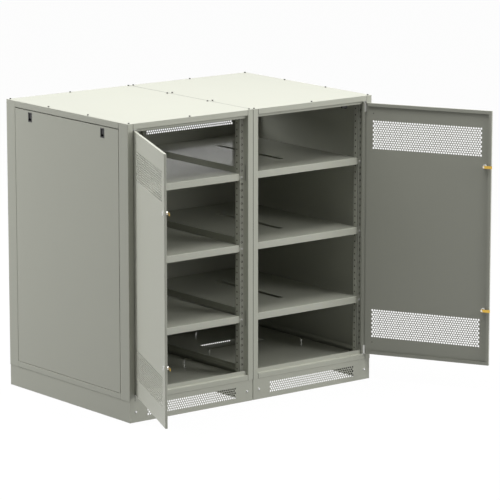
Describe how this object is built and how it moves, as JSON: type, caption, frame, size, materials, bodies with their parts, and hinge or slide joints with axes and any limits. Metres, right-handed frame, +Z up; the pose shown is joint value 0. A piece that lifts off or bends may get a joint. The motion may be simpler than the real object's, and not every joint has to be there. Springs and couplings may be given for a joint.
{
  "type": "battery cabinet",
  "caption": "Sheet-steel battery cabinet with slotted shelves, perforated swing doors and a ventilated plinth.",
  "frame": {"origin": "on the floor, in the middle of the footprint", "axes": "+X runs along the front to the right, +Y to the rear, +Z up"},
  "size_m": [2.5124, 2.0425, 1.806],
  "materials": {
    "grey_paint": "satin",
    "bright_zinc": "satin",
    "yellow_zinc": "satin",
    "hinge_steel": "satin",
    "black_plastic": "matte"
  },
  "bodies": {
    "cabinet": {"door_contact": "black_plastic", "floor_studs": "bright_zinc", "hinge_brackets": "hinge_steel", "hinge_pins": "bright_zinc", "latch_housings": "black_plastic", "left_bottom_rails": "grey_paint", "left_floor_pan": "grey_paint", "left_front_posts": "grey_paint", "left_lower_shelf": "grey_paint", "left_middle_shelf": "grey_paint", "left_plinth_front_grille": "grey_paint", "left_plinth_rear_grille": "grey_paint", "left_plinth_sides": "grey_paint", "left_rear_panel": "grey_paint", "left_rear_posts": "grey_paint", "left_roof": "grey_paint", "left_side_panel": "grey_paint", "left_top_rails": "grey_paint", "left_upper_shelf": "grey_paint", "left_uprights": "grey_paint", "plinth_bolts": "bright_zinc", "rear_screws": "bright_zinc", "right_bottom_rails": "grey_paint", "right_floor_pan": "grey_paint", "right_front_posts": "grey_paint", "right_lower_shelf": "grey_paint", "right_middle_shelf": "grey_paint", "right_plinth_front_grille": "grey_paint", "right_plinth_rear_grille": "grey_paint", "right_plinth_sides": "grey_paint", "right_rear_panel": "grey_paint", "right_rear_posts": "grey_paint", "right_roof": "grey_paint", "right_side_panel": "grey_paint", "right_top_rails": "grey_paint", "right_upper_shelf": "grey_paint", "right_uprights": "grey_paint", "roof_screws": "bright_zinc", "shelf_screws": "bright_zinc"},
    "left_door": {"left_door": "grey_paint", "left_hinge_blocks": "hinge_steel", "left_lock_housings": "bright_zinc"},
    "left_upper_cam": {"left_upper_lock_insert": "bright_zinc", "left_upper_lock_cam": "yellow_zinc"},
    "left_lower_cam": {"left_lower_lock_insert": "bright_zinc", "left_lower_lock_cam": "yellow_zinc"},
    "left_front_latch": {"left_front_latch_slide": "black_plastic"},
    "left_rear_latch": {"left_rear_latch_slide": "black_plastic"},
    "right_door": {"right_door": "grey_paint", "right_hinge_blocks": "hinge_steel", "right_lock_housings": "bright_zinc"},
    "right_upper_cam": {"right_upper_lock_insert": "bright_zinc", "right_upper_lock_cam": "yellow_zinc"},
    "right_lower_cam": {"right_lower_lock_insert": "bright_zinc", "right_lower_lock_cam": "yellow_zinc"},
    "right_front_latch": {"right_front_latch_slide": "black_plastic"},
    "right_rear_latch": {"right_rear_latch_slide": "black_plastic"}
  },
  "joints": [
    {"name": "left_door_swing", "type": "hinge", "parent": "cabinet", "child": "left_door", "pos_m": [-0.8805, -0.625, 0.9625], "axis": [0, 0, 1], "range_deg": [-10.6, 114.4]},
    {"name": "left_upper_cam_turn", "type": "hinge", "parent": "left_door", "child": "left_upper_cam", "pos_m": [-1.20933, -1.3499, 1.411], "axis": [0.9107, -0.4131, 0], "range_deg": [0, 90]},
    {"name": "left_lower_cam_turn", "type": "hinge", "parent": "left_door", "child": "left_lower_cam", "pos_m": [-1.20933, -1.3499, 0.514], "axis": [0.9107, -0.4131, 0], "range_deg": [0, 90]},
    {"name": "left_front_latch_slide", "type": "slide", "parent": "cabinet", "child": "left_front_latch", "axis": [0, 0, -1], "range_m": [0, 0.01], "stiffness_N_per_m": 400, "springref_m": -0.005},
    {"name": "left_rear_latch_slide", "type": "slide", "parent": "cabinet", "child": "left_rear_latch", "axis": [0, 0, -1], "range_m": [0, 0.01], "stiffness_N_per_m": 400, "springref_m": -0.005},
    {"name": "right_door_swing", "type": "hinge", "parent": "cabinet", "child": "right_door", "pos_m": [0.8805, -0.625, 0.9625], "axis": [0, 0, 1], "range_deg": [-118, 7]},
    {"name": "right_upper_cam_turn", "type": "hinge", "parent": "right_door", "child": "right_upper_cam", "pos_m": [1.2542, -1.32783, 1.411], "axis": [0.8829, 0.4695, 0], "range_deg": [0, 90]},
    {"name": "right_lower_cam_turn", "type": "hinge", "parent": "right_door", "child": "right_lower_cam", "pos_m": [1.2542, -1.32783, 0.514], "axis": [0.8829, 0.4695, 0], "range_deg": [0, 90]},
    {"name": "right_front_latch_slide", "type": "slide", "parent": "cabinet", "child": "right_front_latch", "axis": [0, 0, -1], "range_m": [0, 0.01], "stiffness_N_per_m": 400, "springref_m": -0.005},
    {"name": "right_rear_latch_slide", "type": "slide", "parent": "cabinet", "child": "right_rear_latch", "axis": [0, 0, -1], "range_m": [0, 0.01], "stiffness_N_per_m": 400, "springref_m": -0.005}
  ]
}
